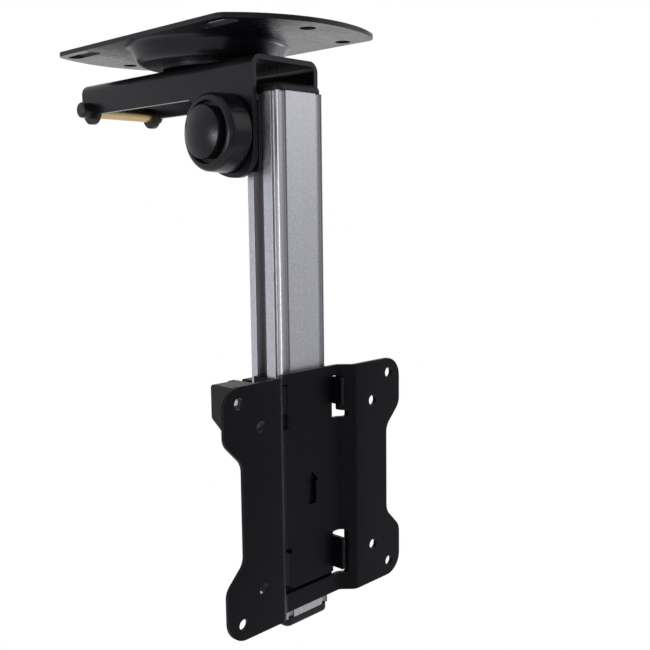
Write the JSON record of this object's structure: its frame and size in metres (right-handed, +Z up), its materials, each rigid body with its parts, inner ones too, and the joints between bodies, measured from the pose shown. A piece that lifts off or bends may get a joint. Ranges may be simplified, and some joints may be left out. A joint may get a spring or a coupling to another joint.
{
  "type": "fold-down ceiling bracket for a tv",
  "caption": "Fold-down ceiling bracket for a small TV: dished swivel plate, folding arm bracket with a tension knob, slotted column, sliding waisted screen plate.",
  "frame": {"origin": "centre of the ceiling plate's top face, on the swivel axis", "axes": "+Z up to the ceiling, -Y the way the screen faces, +X to the right seen from behind the screen plate's front"},
  "size_m": [0.117, 0.1692, 0.2838],
  "materials": {
    "black_powder_coat": "satin",
    "silver_anodised": "satin",
    "yellow_zinc": "satin",
    "zinc_steel": "satin",
    "black_oxide_steel": "satin",
    "black_plastic": "matte",
    "black_nylon": "matte",
    "brass": "satin"
  },
  "bodies": {
    "base": {"ceiling_plate": "black_powder_coat", "swivel_bolt": "black_oxide_steel", "swivel_disc": "zinc_steel", "swivel_washer": "black_nylon", "swivel_spring_washer": "zinc_steel", "swivel_nut": "black_oxide_steel"},
    "hinge": {"hinge_bracket": "black_powder_coat", "swivel_bush": "black_nylon", "latch_bar": "yellow_zinc", "latch_bar_screw": "black_oxide_steel", "latch_bar_nut": "black_oxide_steel", "pivot_bolt": "black_oxide_steel", "knob_washer": "zinc_steel", "friction_washer_left": "black_nylon", "friction_washer_right": "black_nylon"},
    "knob": {"tension_knob": "black_plastic", "knob_cap": "black_plastic", "knob_insert": "brass"},
    "mast": {"column": "silver_anodised", "column_top_cap": "black_plastic", "column_bottom_cap": "black_plastic", "hinge_yoke": "black_powder_coat", "hinge_bush_left": "black_nylon", "hinge_bush_right": "black_nylon", "latch_housing": "black_plastic", "latch_pin": "zinc_steel", "hinge_screw_lower_left": "black_oxide_steel", "hinge_screw_lower_right": "black_oxide_steel", "hinge_screw_upper_left": "black_oxide_steel", "hinge_screw_upper_right": "black_oxide_steel", "hinge_slot_nut_left": "zinc_steel", "hinge_slot_nut_right": "zinc_steel", "latch_screw_left": "black_oxide_steel", "latch_screw_right": "black_oxide_steel"},
    "pawl": {"latch_pawl": "zinc_steel"},
    "carriage": {"carrier": "black_powder_coat", "screen_plate": "black_powder_coat", "clamp_screw_lower_left": "black_oxide_steel", "clamp_screw_lower_right": "black_oxide_steel", "clamp_screw_upper_left": "black_oxide_steel", "clamp_screw_upper_right": "black_oxide_steel", "clamp_slot_nut_lower_left": "zinc_steel", "clamp_slot_nut_lower_right": "zinc_steel", "clamp_slot_nut_upper_left": "zinc_steel", "clamp_slot_nut_upper_right": "zinc_steel"}
  },
  "joints": [
    {"name": "swivel", "type": "hinge", "parent": "base", "child": "hinge", "pos_m": [0, 0, 0], "axis": [0, 0, 1], "continuous": true},
    {"name": "fold", "type": "hinge", "parent": "hinge", "child": "mast", "pos_m": [0, -0.038, -0.0477], "axis": [1, 0, 0], "range_deg": [-30, 90]},
    {"name": "tension", "type": "hinge", "parent": "hinge", "child": "knob", "pos_m": [0, -0.038, -0.0477], "axis": [-1, 0, 0], "continuous": true},
    {"name": "height", "type": "slide", "parent": "mast", "child": "carriage", "axis": [0, 0, 1], "range_m": [0, 0.06]},
    {"name": "latch", "type": "hinge", "parent": "mast", "child": "pawl", "pos_m": [0, -0.0345, -0.1757], "axis": [1, 0, 0], "range_deg": [0, 15]}
  ]
}
